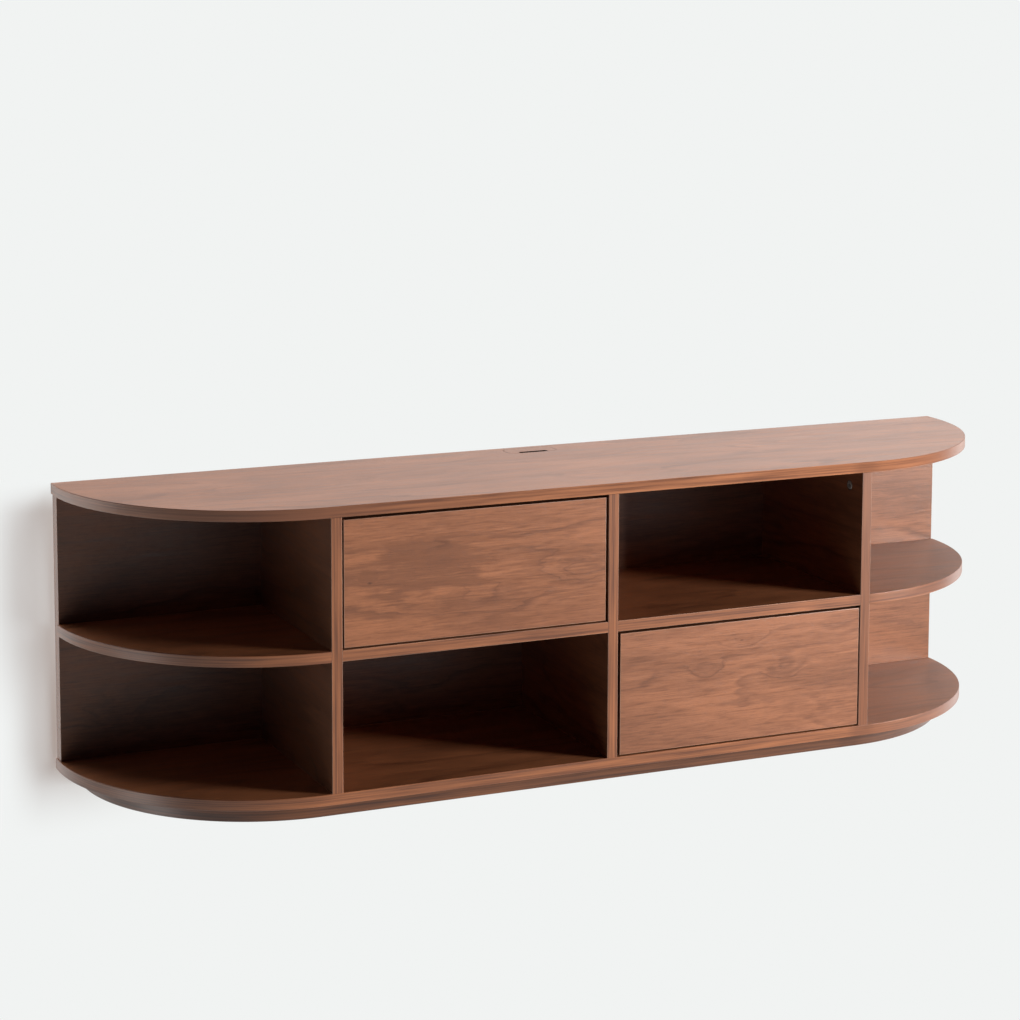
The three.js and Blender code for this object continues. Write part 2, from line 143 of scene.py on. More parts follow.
class Board:
    """A plate in its own plan, from height 0 to its thickness, with eased rims and a grain map.

    Its shift gives it a stretch of veneer of its own."""

    def __init__(self, thickness, ease, shift=0, steps=3):
        self.mesh = bmesh.new()
        self.map = self.mesh.loops.layers.uv.new(GRAIN_MAP)
        self.thickness = thickness
        self.ease = ease
        self.offset = Vector([step * shift for step in VENEER_STEP])
        self.steps = steps
        self.low = []
        self.high = []

    def ring(self, loop, height):
        return [self.mesh.verts.new((p.x, p.y, height)) for p in loop]

    def easing(self, level, ease, sign):
        """Quarter round from a face to a rim: how far each ring is set in, and its height."""
        if not ease:
            return [(0, level)]
        angles = [QUARTER * i / self.steps for i in range(self.steps + 1)]
        return [(ease * (1 - math.sin(a)), level + sign * ease * (1 - math.cos(a))) for a in angles]

    def wall(self, loop, low, high, ease_low, ease_high, material):
        """A rim or a hole's side. Returns its lowest and its highest ring."""
        levels = self.easing(low, ease_low, 1) + self.easing(high, ease_high, -1)[::-1]
        rings = [self.ring(inset(loop, d) if d else loop, z) for d, z in levels]
        lengths = [0]
        for a, b in zip(loop, loop[1:] + loop[:1]):
            lengths.append(lengths[-1] + (b - a).length)
        for (d0, z0), (d1, z1), r0, r1 in zip(levels, levels[1:], rings, rings[1:]):
            eased = material == BAND and (d0 or d1)
            for i in range(len(loop)):
                j = (i + 1) % len(loop)
                face = self.mesh.faces.new((r0[i], r0[j], r1[j], r1[i]))
                face.material_index = ARRIS if eased else material
                face.smooth = True
                spots = [(i, z0), (i + 1, z0), (i + 1, z1), (i, z1)]
                for corner, (k, z) in zip(face.loops, spots):
                    corner[self.map].uv = self.offset + Vector((lengths[k], z))
        return rings[0], rings[-1]

    def fill(self, rings, upwards, material=FACE):
        verts = [v for ring in rings for v in ring]
        flat = [[Vector((v.co.x, v.co.y, 0)) for v in ring] for ring in rings]
        for triangle in tessellate_polygon(flat):
            a, b, c = (verts[i] for i in triangle)
            area = (b.co - a.co).xy.cross((c.co - a.co).xy)
            if not area:
                continue
            corners = (a, b, c) if (area > 0) == upwards else (a, c, b)
            face = self.mesh.faces.new(corners)
            face.material_index = material
            face.smooth = True
            for corner in face.loops:
                corner[self.map].uv = self.offset + corner.vert.co.xy

    def side(self, loop, material):
        low, high = self.wall(loop, 0, self.thickness, self.ease, self.ease, material)
        self.low.append(low)
        self.high.append(high)

    def rim(self, loop):
        self.side(turned_to(loop, True), BAND)

    def hole(self, loop):
        self.side(turned_to(loop, False), CUT)

    def pocket(self, loop, depth, from_high=True, well=None, ease=None):
        """A blind recess, with an opening through its floor where there is a well."""
        loop = turned_to(loop, False)
        ease = self.ease if ease is None else ease
        if from_high:
            floor = self.thickness - depth
            ring, top = self.wall(loop, floor, self.thickness, 0, ease, CUT)
            self.high.append(top)
        else:
            floor = depth
            bottom, ring = self.wall(loop, 0, floor, ease, 0, CUT)
            self.low.append(bottom)
        rings = [ring]
        if well:
            low, high = self.wall(turned_to(well, False), 0, floor, self.ease, 0, CUT)
            self.low.append(low)
            rings.append(high)
        self.fill(rings, from_high, CUT)

    def finish(self, name, place, materials):
        self.fill(self.high, True)
        self.fill(self.low, False)
        self.mesh.transform(place)
        data = bpy.data.meshes.new(name)
        self.mesh.to_mesh(data)
        self.mesh.free()
        for material in materials:
            data.materials.append(material)
        data.set_sharp_from_angle(angle=SHARP_ANGLE)
        obj = new_object(name, data)
        weights = obj.modifiers.new("face weights", "WEIGHTED_NORMAL")
        weights.keep_sharp = True
        return obj


def new_object(name, data):
    obj = bpy.data.objects.new(name, data)
    bpy.context.scene.collection.objects.link(obj)
    return obj


def placing(right, up, out, origin):
    """Puts a plan's x, y and height along three directions from an origin."""
    turn = Matrix((right, up, out)).transposed().to_4x4()
    return Matrix.Translation(origin) @ turn


def lying(height):
    return placing(X, Y, Z, (0, 0, height))


def standing(x):
    return placing(Y, Z, X, (x, 0, 0))


def facing(y):
    return placing(X, Z, FRONTWARDS, (0, y, 0))


def bake_shape(obj):
    """Applies an object's modifiers to its mesh."""
    graph = bpy.context.evaluated_depsgraph_get()
    graph.update()
    shaped = bpy.data.meshes.new_from_object(obj.evaluated_get(graph))
    obj.modifiers.clear()
    obj.data = shaped


def settle(obj, body, slot, *nodes):
    if nodes:
        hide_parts(*nodes)
    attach(obj, body)


def dress(nodes, material):
    """Gives CAD nodes a finish, and leaves their shape and place."""
    for name in nodes:
        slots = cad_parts[name].data.materials
        slots.clear()
        slots.append(material)


# Finishes


class Nodes:
    """The nodes of a material or a world. Inputs are plain values or the outputs of other nodes."""

    def __init__(self, owner):
        owner.use_nodes = True
        self.tree = owner.node_tree
        self.tree.nodes.clear()

    def node(self, kind, inputs=None, **settings):
        node = self.tree.nodes.new(kind)
        for key, value in settings.items():
            setattr(node, key, value)
        for key, value in (inputs or {}).items():
            self.feed(node.inputs[key], value)
        return node

    def feed(self, socket, value):
        if isinstance(value, bpy.types.NodeSocket):
            self.tree.links.new(value, socket)
        else:
            socket.default_value = value


class Finish(Nodes):
    """A material, and the figures and masks that its look is made of."""

    def __init__(self, name):
        self.material = bpy.data.materials.new(name)
        super().__init__(self.material)
        self.shader = self.node("ShaderNodeBsdfPrincipled")
        self.output = self.node("ShaderNodeOutputMaterial", {"Surface": self.shader.outputs[0]})

    def surface(self, **inputs):
        for key, value in inputs.items():
            self.feed(self.shader.inputs[key.replace("_", " ")], value)
        return self.material

    def coat(self, colour, grain, rough, depth, strength, **inputs):
        """A surface whose grain gives its roughness, between two values, and its bump."""
        return self.surface(
            Base_Color=colour,
            Roughness=self.spread(grain, 0.3, 0.7, *rough),
            Normal=self.bump(grain, depth, strength),
            **inputs,
        )

    def grain(self, along, across, shift=(0, 0, 0)):
        """The grain map in metres, scaled along and across the grain."""
        place = self.node("ShaderNodeUVMap", uv_map=GRAIN_MAP).outputs[0]
        inputs = {"Vector": place, "Location": shift, "Scale": (along, across, 1)}
        return self.node("ShaderNodeMapping", inputs).outputs[0]

    def place(self, scale=(1, 1, 1)):
        spot = self.node("ShaderNodeTexCoord").outputs["Object"]
        return self.node("ShaderNodeMapping", {"Vector": spot, "Scale": scale}).outputs[0]

    def axes(self):
        """The place's X, Y and Z in metres."""
        return self.node("ShaderNodeSeparateXYZ", {0: self.place()}).outputs

    def noise(self, vector, scale=1, detail=2, roughness=0.5, distortion=0):
        inputs = {"Vector": vector, "Scale": scale, "Detail": detail}
        inputs |= {"Roughness": roughness, "Distortion": distortion}
        return self.node("ShaderNodeTexNoise", inputs).outputs["Fac"]

    def math(self, operation, *values):
        return self.node("ShaderNodeMath", dict(enumerate(values)), operation=operation).outputs[0]

    def spread(self, value, low, high, to_low=0.0, to_high=1.0, **settings):
        """Maps low to high onto another range, and holds it there."""
        inputs = {"Value": value, "From Min": low, "From Max": high, "To Min": to_low, "To Max": to_high}
        return self.node("ShaderNodeMapRange", inputs, clamp=True, **settings).outputs[0]

    def fade(self, value, clear, full):
        """Rises softly from nothing at clear to one at full."""
        return self.spread(value, clear, full, interpolation_type="SMOOTHSTEP")

    def total(self, *values):
        result = values[0]
        for value in values[1:]:
            result = self.math("ADD", result, value)
        return result

    def part(self, value, share):
        return self.math("MULTIPLY", value, share)

    def blend(self, share, first, second, mode="MIX"):
        inputs = {0: share, 6: self.colour(first), 7: self.colour(second)}
        return self.node("ShaderNodeMix", inputs, data_type="RGBA", blend_type=mode).outputs[2]

    def shades(self, value, low, high, base, darker, paler):
        """From a darker to a paler shade of one colour."""
        base = Vector(base)
        return self.blend(self.spread(value, low, high), base * darker, base * paler)

    @staticmethod
    def colour(value):
        """A node's output as it is, and a grey or a colour as four numbers."""
        if isinstance(value, bpy.types.NodeSocket):
            return value
        if isinstance(value, (int, float)):
            value = (value,) * 3
        return (*value, 1)

    def ramp(self, value, stops):
        node = self.node("ShaderNodeValToRGB", {"Fac": value})
        elements = node.color_ramp.elements
        while len(elements) < len(stops):
            elements.new(0.5)
        for element, (position, colour) in zip(elements, stops):
            element.position = position
            element.color = self.colour(colour)
        return node.outputs[0]

    def bump(self, height, distance, strength):
        inputs = {"Height": height, "Distance": distance, "Strength": strength}
        return self.node("ShaderNodeBump", inputs).outputs[0]


def wobble(f, reach):
    """Makes the edge of a knot's figure uneven."""
    return f.spread(f.noise(f.grain(9, 34), detail=3), 0.3, 0.7, -reach, reach)


class Knot:
    """A place on a board that growth rings bend round, with its half length and half height."""

    def __init__(self, x, y, half_length, half_height, rings, dusk=0.0, core=0.0):
        self.place = Vector((x, y))
        self.reach = Vector((half_length, half_height))
        self.rings = rings
        self.dusk = dusk
        self.core = core

    def nearness(self, f, offset):
        """From nothing at its reach to one at its middle, and the distance from its middle."""
        share = (1 / self.reach.x, 1 / self.reach.y)
        middle = self.place + offset
        spot = f.grain(*share, (-middle.x * share[0], -middle.y * share[1], 0))
        away = f.node("ShaderNodeVectorMath", {0: spot}, operation="LENGTH").outputs["Value"]
        return f.fade(f.total(away, wobble(f, 0.28)), 1.0, 0.0), away


FRONT_KNOTS = {
    "left": (
        Knot(-0.345, -0.034, 0.165, 0.062, 1.1, dusk=1.5),
        Knot(-0.419, -0.053, 0.026, 0.014, 0.6, dusk=0.2, core=0.2),
        Knot(-0.060, -0.064, 0.095, 0.040, 1.7),
        Knot(-0.235, -0.096, 0.150, 0.036, 0.9, dusk=0.3),
    ),
    "right": (
        Knot(0.237, -0.209, 0.060, 0.022, 0.8, dusk=0.2, core=0.08),
        Knot(0.171, -0.253, 0.046, 0.024, 0.9, dusk=0.6),
        Knot(0.321, -0.264, 0.044, 0.028, 0.8, dusk=0.7),
        Knot(0.362, -0.334, 0.080, 0.030, 0.4, dusk=0.5),
    ),
}
FRONT_FIGURE = {"left": 0.62, "right": 0.42}
FRONT_TONE = {"left": (0.99, 0.95, 0.86), "right": (0.93, 0.93, 0.92)}
# Grey-brown that pale blends towards: painted highlight on the arrises with the band's glue line, and painted
# sheen on the top's band
GLUE_AND_SHEEN_LIGHT = Vector((0.62, 0.42, 0.32))
GLUE_AND_SHEEN_DEEP = Vector((0.46, 0.28, 0.20))

# Where the right end's painted shade changes: the middle of the right divider and its right face
DIVIDER_MIDDLE = 0.473
DIVIDER_FACE = 0.482


def growth(f, look, knots, offset):
    """How many rings lie below each place, and how dusky and how knotty it is."""
    across = f.node("ShaderNodeSeparateXYZ", {0: f.grain(1, 1)}).outputs["Y"]
    sway = f.noise(f.grain(1.5, 5.5), detail=2.0, distortion=0.4)
    ripple = f.noise(f.grain(16, 70, (5, 3, 0)), detail=3)
    level = f.total(f.part(across, look.ring_count), f.part(sway, look.ring_sway), f.part(ripple, 0.5))
    dusk, core = 0.0, 0.0
    if not knots:
        seed = f.grain(1.7, 5.2, (3.3, 1.7, 0))
        away = f.node("ShaderNodeTexVoronoi", {"Vector": seed, "Scale": 1.0}).outputs["Distance"]
        near = f.fade(f.total(away, wobble(f, 0.07)), 0.36, 0.0)
        level = f.total(level, f.part(near, 1.5))
        dusk = f.part(near, 0.4)
        core = f.spread(away, 0.0, 0.03, 0.7, 0.0)
    for knot in knots:
        near, away = knot.nearness(f, offset)
        level = f.total(level, f.part(near, knot.rings))
        if knot.dusk:
            dusk = f.total(dusk, f.part(f.fade(near, 0.04, 0.45), knot.dusk))
        if knot.core:
            core = f.total(core, f.spread(away, 0.0, knot.core, 0.8, 0.0))
    return level, dusk, core


def walnut(name, tone=(1, 1, 1), figure=0.55, knots=(), offset=Vector((0, 0)), niches=False):
    """Flat-cut walnut veneer under satin lacquer: growth rings that bend round knots, each ring
    with a tone of its own, then streaks, short flecks and pores. With niches, its front side gets
    painted shade, least at the open right end."""
    f, look = Finish(name), looks()
    level, dusk, core = growth(f, look, knots, offset)
    late = f.ramp(f.math("FRACT", level), [(0.0, 0.3), (0.03, 0), (0.74, 0.05), (0.96, 1), (1.0, 0.3)])
    shown = f.spread(f.noise(f.grain(3.4, 13, (4, 9, 0)), detail=2), 0.42, 0.60, 0.10, 1.0)
    season = f.node("ShaderNodeTexNoise", {"W": f.part(level, 0.55)}, noise_dimensions="1D").outputs[0]
    fleck = f.noise(f.grain(24, 330), detail=3.5, roughness=0.6)
    streak = f.noise(f.grain(4.5, 85, (2, 5, 0)), detail=3.5, roughness=0.72, distortion=0.2)
    patch = f.noise(f.grain(3.4, 13.0, (7, 1, 0)), detail=3, distortion=0.4)
    fibre = f.noise(f.grain(12, 900), detail=4, roughness=0.6)
    pore = f.spread(f.noise(f.grain(80, 2400), detail=2, roughness=0.6), 0.33, 0.41, 1.0, 0.0)

    veneers = (look.light_veneer, look.dark_veneer, look.ring_veneer)
    light, dark, deep = (Vector(veneer) * Vector(tone) for veneer in veneers)
    body = f.total(f.part(season, 0.14), f.part(streak, 0.28), f.part(patch, 0.32), f.part(fleck, 0.26))
    if dusk:
        body = f.math("SUBTRACT", body, f.part(dusk, 0.10))
    colour = f.blend(f.spread(body, 0.41, 0.57), dark, light)
    colour = f.blend(f.part(f.part(late, shown), figure), colour, deep)
    if core:
        colour = f.blend(core, colour, deep * 0.5)
    colour = f.blend(f.spread(fleck, 0.30, 0.47, 0.26, 0.0), colour, deep)
    colour = f.blend(f.spread(fibre, 0.34, 0.60, 0.26, 0.0), colour, deep * 0.85)
    colour = f.blend(f.part(pore, 0.40), colour, deep * 0.45)
    # Painted shade in the niches: the front side of the back and the dividers is darkened, less past the
    # right divider
    if niches:
        axes = f.axes()
        before_end = f.spread(axes["X"], DIVIDER_MIDDLE - 0.001, DIVIDER_MIDDLE + 0.001, 1.0, 0.3)
        front_side = f.spread(axes["Y"], -0.020, -0.015, 1.0, 0.0)
        colour = f.blend(f.part(before_end, front_side), colour, look.niche_painted_shade, "MULTIPLY")
    height = f.math("SUBTRACT", f.part(fibre, 0.5), pore)
    return f.surface(
        Base_Color=colour,
        Roughness=f.spread(f.total(fleck, streak), 0.7, 1.3, look.gloss - 0.05, look.gloss + 0.07),
        Specular_IOR_Level=look.lustre,
        Normal=f.bump(height, 0.00006, 0.6),
    )


def walnut_band(name, tone=1.0, pale=0.0, left_painted_shade=0.0):
    """Edge band: lines of a few millimetres and finer ones along the rim, with painted shade at the right
    end, most on the right divider, and it can have this shade before the left end too. Pale adds a painted
    highlight."""
    f, look = Finish(name), looks()
    line = f.noise(f.grain(2.6, 300), detail=3.5, roughness=0.65)
    drift = f.noise(f.grain(8, 110, (3, 8, 0)), detail=3)
    fibre = f.noise(f.grain(20, 1500), detail=3, roughness=0.6)
    # Pale blends the band towards a painted highlight
    light = (Vector(look.band_veneer) * tone).lerp(GLUE_AND_SHEEN_LIGHT, pale)
    deep = (Vector(look.band_line) * tone).lerp(GLUE_AND_SHEEN_DEEP, pale)
    body = f.spread(f.total(f.part(line, 0.65), f.part(drift, 0.35)), 0.39, 0.61)
    colour = f.ramp(body, [(0.0, deep), (0.36, deep.lerp(light, 0.5)), (1.0, light * 1.12)])
    colour = f.blend(f.spread(fibre, 0.3, 0.7, 0.28, 0.0), colour, deep * 0.9)
    x = f.axes()["X"]
    # Painted shade: a darker band on the right divider and towards the right end
    divider = f.part(f.spread(x, 0.44, 0.46, 0.0, look.end_painted_shade), f.spread(x, DIVIDER_FACE, 0.50, 1.0, 0.6))
    painted_shade = f.total(divider, f.spread(x, 0.55, 0.70, 0.0, 0.6))
    # Painted shade of the band before the left end
    if left_painted_shade:
        left = f.part(f.spread(x, -0.75, -0.60, 0.0, left_painted_shade), f.spread(x, -0.50, -0.22, 1.0, 0.0))
        painted_shade = f.total(painted_shade, left)
    return f.surface(
        Base_Color=f.blend(painted_shade, colour, deep),
        Roughness=f.spread(fibre, 0.3, 0.7, look.gloss, look.gloss + 0.08),
        Specular_IOR_Level=look.lustre,
        Normal=f.bump(line, 0.00005, 0.5),
    )


def cut_board_with_shade(name):
    """Board core inside a cut: brown, darker still as painted shade in the recess, with fine chips."""
    f, look = Finish(name), looks()
    chip = f.noise(f.place(), scale=900, detail=4, roughness=0.7)
    colour = f.blend(f.spread(chip, 0.35, 0.65), look.cut_shade_dark, look.cut_shade_pale)
    return f.coat(colour, chip, (0.6, 0.85), 0.0001, 0.6)


def laminate(name):
    """Printed board of the drawer boxes, with a straight faint grain by its place."""
    f = Finish(name)
    streak = f.noise(f.place((14, 3, 260)), detail=4, roughness=0.6)
    broad = f.noise(f.place((3, 1, 14)), detail=2)
    body = f.total(f.part(streak, 0.6), f.part(broad, 0.4))
    colour = f.shades(body, 0.36, 0.64, looks().drawer_board, 0.72, 1.12)
    return f.coat(colour, streak, (0.46, 0.58), 0.00005, 0.4)


def zinc_steel(name):
    """Zinc-plated strip: rolling lines along its length and faint clouds in the plating."""
    f = Finish(name)
    line = f.noise(f.place((900, 4, 900)), detail=3, roughness=0.6)
    cloud = f.noise(f.place((38, 38, 38)), detail=4, roughness=0.65)
    return f.surface(
        Base_Color=f.shades(cloud, 0.35, 0.65, looks().zinc, 0.82, 1.06),
        Metallic=1.0,
        Roughness=f.total(f.spread(line, 0.3, 0.7, 0.24, 0.36), f.spread(cloud, 0.3, 0.7, 0, 0.08)),
        Normal=f.bump(line, 0.00003, 0.4),
    )


def cast_zinc(name):
    """Plain die-cast zinc: pale, grainy, hardly shiny."""
    f = Finish(name)
    grain = f.noise(f.place(), scale=1400, detail=4, roughness=0.7)
    cloud = f.noise(f.place(), scale=160, detail=3)
    colour = f.shades(cloud, 0.35, 0.65, looks().cast, 0.86, 1.05)
    return f.coat(colour, grain, (0.42, 0.6), 0.00008, 0.5, Metallic=0.55)


def moulded(name, tint, rough, pit):
    """Moulded plastic or rubber with a spark-eroded grain."""
    f = Finish(name)
    grain = f.noise(f.place(), scale=pit, detail=3, roughness=0.6)
    colour = f.shades(f.noise(f.place(), scale=70, detail=2), 0.35, 0.65, tint, 0.85, 1.15)
    return f.coat(colour, grain, (rough - 0.06, rough + 0.08), 0.00008, 0.5)


_made = {}


def finish_of(kind):
    """Each finish is made once, when a piece first needs it."""
    if kind not in _made:
        look = looks()
        makers = {
            "face": lambda: walnut("walnut veneer"),
            # Inner veneer: darker and redder inside the console, as painted shade
            "inner": lambda: walnut("inner walnut veneer", look.inner_painted_shade),
            # Niche veneer: the inner veneer with painted shade of the niches
            "niche": lambda: walnut("niche walnut veneer", look.inner_painted_shade, niches=True),
            # Plinth veneer: darker as painted shade under the bottom board
            "plinth": lambda: walnut("dark walnut veneer", (look.plinth_painted_shade,) * 3),
            "band": lambda: walnut_band("walnut edge band"),
            # Top's band: a paler tone and pale as painted sheen, and painted shade before its left end
            "top_band": lambda: walnut_band("top edge band", 1.1, look.top_painted_sheen, look.left_painted_shade),
            # Drawer fronts' rims: darkened as painted shade in the gaps round the fronts
            "front_band": lambda: walnut_band("stained edge band", look.front_rim_painted_shade),
            # Plinth band: darker as painted shade under the bottom board
            "plinth_band": lambda: walnut_band("dark walnut edge band", look.plinth_painted_shade),
            # Arrises: a painted highlight, with the band's glue line
            "arris": lambda: walnut_band("rubbed walnut arris", pale=look.arris_glue_and_highlight),
            # Cuts: a brown core darkened as painted shade
            "cut": lambda: cut_board_with_shade("cut board"),
            "laminate": lambda: laminate("drawer board"),
            "steel": lambda: zinc_steel("zinc-plated steel"),
            "screw": lambda: zinc_steel("zinc-plated screws"),
            "cast": lambda: cast_zinc("die-cast zinc"),
            "plastic": lambda: moulded("grey plastic", look.plastic, 0.5, 2200),
            "rubber": lambda: moulded("soft black tip", look.rubber, 0.75, 2600),
        }
        _made[kind] = makers[kind]()
    return _made[kind]


def finishes(*kinds):
    """A board's finishes: its faces, its band, its cuts and its arrises."""
    return [finish_of(kind) for kind in kinds]


# Settings


def amount(name, description, default, **more):
    return FloatProperty(name=name, description=description, default=default, **more)


def length(name, description, default):
    return amount(name, description, default, unit="LENGTH", precision=5)


def angle(name, description, degrees):
    return amount(name, description, math.radians(degrees), subtype="ANGLE")


def tint(name, description, default):
    return FloatVectorProperty(
        name=name, description=description, default=default, subtype="COLOR", size=3, min=0, max=1
    )


class ConsoleSizes(bpy.types.PropertyGroup):
    """Sizes that the boards are made to."""

    board_ease: length("Board ease", "Radius of the arrises of top, bottom and end shelves", 0.0011)
    inner_ease: length("Inner ease", "Radius of the arrises of back, dividers and bay shelves", 0.0007)
    plinth_ease: length("Plinth ease", "Radius of the plinth's arrises", 0.002)
    front_ease: length("Front ease", "Radius of a drawer front's arrises", 0.0009)
    cover_ease: length("Cover ease", "Radius of the arrises round the cable cover", 0.0003)
    end_straight: length("End straight", "Straight stretch of a round end at the wall", 0.020)
    end_lead: length("End lead", "From a divider's face to the middle of the end's round", 0.003)
    cover_corner: length("Cover corner", "Radius of the cable cover's corners", 0.012)
    cover_gap: length("Cover gap", "Gap between the cable cover and its pocket", 0.0003)
    cover_ledge: length("Cover ledge", "Ledge that the cable cover lies on", 0.006)
    slot_half: length("Slot half", "Half length of the slot in the cable cover", 0.026)
    slot_depth: length("Slot depth", "Depth of the slot from the cover's front edge", 0.010)
    slot_corner: length("Slot corner", "Radius of the slot's corners", 0.004)
    cam_gap: length("Cam gap", "Gap round a cam in its hole", 0.0003)
    notch_corner: length("Notch corner", "Radius inside the notches for cables", 0.010)
    hang_aside: length("Hang aside", "How far each drawer front hangs towards the outside", 0.0011)
    hang_down: length("Hang down", "How far each drawer front hangs down", 0.0006)
    rail_pitch: length("Rail pitch", "From screw to screw along the hanging rails", 0.150)
    round_steps: IntProperty(name="Round steps", description="Steps in a quarter of a round end", default=64)


class ConsoleLooks(bpy.types.PropertyGroup):
    """Colours and gloss of the finishes."""

    light_veneer: tint("Light veneer", "Pale parts of the walnut", (0.485, 0.189, 0.092))
    dark_veneer: tint("Dark veneer", "Darker parts of the walnut", (0.290, 0.110, 0.054))
    ring_veneer: tint("Ring veneer", "Growth rings of the walnut", (0.135, 0.048, 0.026))
    # Painted shade: the veneer inside the console, darker and redder than the rest
    inner_painted_shade: tint("Inner shade", "Painted shade of the veneer inside the console against the rest", (0.79, 0.74, 0.64))
    # Painted shade: how much darker the niches are than the inner veneer
    niche_painted_shade: tint("Niche shade", "Painted shade of the niches against the inner veneer", (0.68, 0.72, 0.76))
    band_veneer: tint("Band veneer", "Pale parts of the edge band", (0.450, 0.165, 0.068))
    band_line: tint("Band line", "Dark lines of the edge band", (0.156, 0.054, 0.026))
    # Cuts: a brown core darkened as painted shade
    cut_shade_dark: tint("Cut shade dark", "Dark parts of cuts, with painted shade", (0.022, 0.010, 0.007))
    cut_shade_pale: tint("Cut shade pale", "Pale parts of cuts, with painted shade", (0.060, 0.028, 0.018))
    drawer_board: tint("Drawer board", "Laminate of the drawer boxes", (0.42, 0.25, 0.15))
    zinc: tint("Zinc", "Plated steel", (0.62, 0.64, 0.66))
    cast: tint("Cast zinc", "Cams", (0.27, 0.26, 0.25))
    plastic: tint("Plastic", "Latch housings", (0.07, 0.075, 0.08))
    rubber: tint("Rubber", "Latch tips", (0.02, 0.02, 0.022))
    pale: tint("Pale", "Wall, floor and surroundings", (0.879, 0.896, 0.888))
    shade: tint("Shade", "What the console's shadow can take from the wall", (0.628, 0.711, 0.745))
    ring_count: amount("Ring count", "Rings in a metre across the grain", 13.0)
    ring_sway: amount("Ring sway", "How many rings the figure sways", 6.0)
    # Painted shade of the band on the right divider
    end_painted_shade: amount("End painted shade", "Painted shade of the band on the right divider", 0.50)
    # Painted shade of the top's band before its left end
    left_painted_shade: amount("Left painted shade", "Painted shade of the top's band at the left", 0.7)
    # Painted highlight of the arrises, with the band's glue line
    arris_glue_and_highlight: amount("Arris highlight", "How far the arrises are painted pale as a highlight, with the band's glue line", 0.45)
    # Painted sheen of the top's band
    top_painted_sheen: amount("Top sheen", "How far the top's band is painted pale as sheen", 0.07)
    # Painted shade: the plinth under the bottom board, against the boards
    plinth_painted_shade: amount("Plinth shade", "Painted shade of the plinth against the boards", 0.46)
    # Painted shade in the gaps: the drawer fronts' rims against the boards
    front_rim_painted_shade: amount("Front rim shade", "Painted gap shade on the rims of the drawer fronts against the boards", 0.35)
    gloss: amount("Gloss", "Roughness of the lacquer", 0.34)
    lustre: amount("Lustre", "Specular level of the lacquer", 0.45)


class ConsoleStage(bpy.types.PropertyGroup):
    """The lights. Angles round are from the front to the right, heights are above the level."""

    key_round: angle("Key round", "Key light round from the front", 49.6)
    key_height: angle("Key height", "Key light above the level", 8.5)
    key_power: amount("Key power", "Key light in watts", 198.0)
    key_distance: length("Key distance", "Key light to the console", 3.85)
    key_size: length("Key size", "Side of the square key light", 0.9)
    side_round: angle("Side round", "Side light round from the front", 112)
    side_height: angle("Side height", "Side light above the level", 38)
    side_power: amount("Side power", "Strength of the side light", 1.0)
    top_round: angle("Top round", "Light over the wall, round from the front", 165)
    top_height: angle("Top height", "Light over the wall, above the level", 55)
    top_power: amount("Top power", "Strength of the light over the wall", 2.95)
    floor_round: angle("Floor round", "Light from the floor, round from the front", -40)
    floor_height: angle("Floor height", "Light from the floor, above the level", -50)
    floor_power: amount("Floor power", "Light that the floor throws up", 0.6)
    wall_round: angle("Wall round", "The wall's own light, round from the front", 47)
    wall_height: angle("Wall height", "The wall's own light, above the level", 14)
    card_power: amount("Card power", "Low card at the left, for gloss alone", 4.6)
    bounce: amount("Bounce", "Light that the wall throws on the console", 0.16)
    ambient: amount("Ambient", "Even light on the console", 0.009)


GROUPS = {"console_sizes": ConsoleSizes, "console_looks": ConsoleLooks, "console_stage": ConsoleStage}


def sizes():
    return bpy.context.scene.console_sizes


def looks():
    return bpy.context.scene.console_looks


# Pieces

# Radius and height of the screws' pan heads
SCREW_HEADS = {
    "back": (0.0040, 0.0016),
    "runner": (0.0034, 0.0013),
    "latch": (0.0030, 0.0012),
    "rail": (0.0042, 0.0018),
}


def round_end_plan(node):
    """Plan of the top, the bottom and the plinth: a short straight at the wall, then a round end."""
    low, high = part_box(node)
    straight, steps = sizes().end_straight, sizes().round_steps
    radius = -low.y - straight
    return [
        Vector((low.x, 0)),
        *arc(low.x + radius, -straight, radius, 2 * QUARTER, 3 * QUARTER, steps),
        *arc(high.x - radius, -straight, radius, 3 * QUARTER, 4 * QUARTER, steps),
        Vector((high.x, 0)),
    ]


def lying_board(name, node, ease, shift, plan, kinds, slot="walnut_veneer"):
    """Makes a level board of the cabinet in its CAD node's place."""
    low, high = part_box(node)
    board = Board(high.z - low.z, ease, shift)
    board.rim(plan)
    settle(board.finish(name, lying(low.z), finishes(*kinds)), "cabinet", slot, node)


class CONSOLE_OT_top(bpy.types.Operator):
    """Makes the top with its pocket for the cable cover"""

    bl_idname = "console.top"
    bl_label = "Top"

    def execute(self, context):
        low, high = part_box("top_panel")
        cover_low, cover_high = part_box("cable_cover")
        gap, ledge, corner = sizes().cover_gap, sizes().cover_ledge, sizes().cover_corner
        well_inset = 0.0002
        board = Board(high.z - low.z, sizes().board_ease, shift=1)
        board.rim(round_end_plan("top_panel"))
        pocket = rounded_rectangle(
            (cover_low.x - gap, cover_low.y - gap), (cover_high.x + gap, cover_high.y + gap), corner + gap
        )
        well = rounded_rectangle(
            (cover_low.x + ledge, cover_low.y - gap + well_inset),
            (cover_high.x - ledge, cover_high.y - ledge),
            corner,
        )
        board.pocket(pocket, cover_high.z - cover_low.z, well=well, ease=sizes().cover_ease)
        top = board.finish("top_board", lying(low.z), finishes("face", "top_band", "cut", "top_band"))
        settle(top, "cabinet", "walnut_veneer", "top_panel")
        return {"FINISHED"}


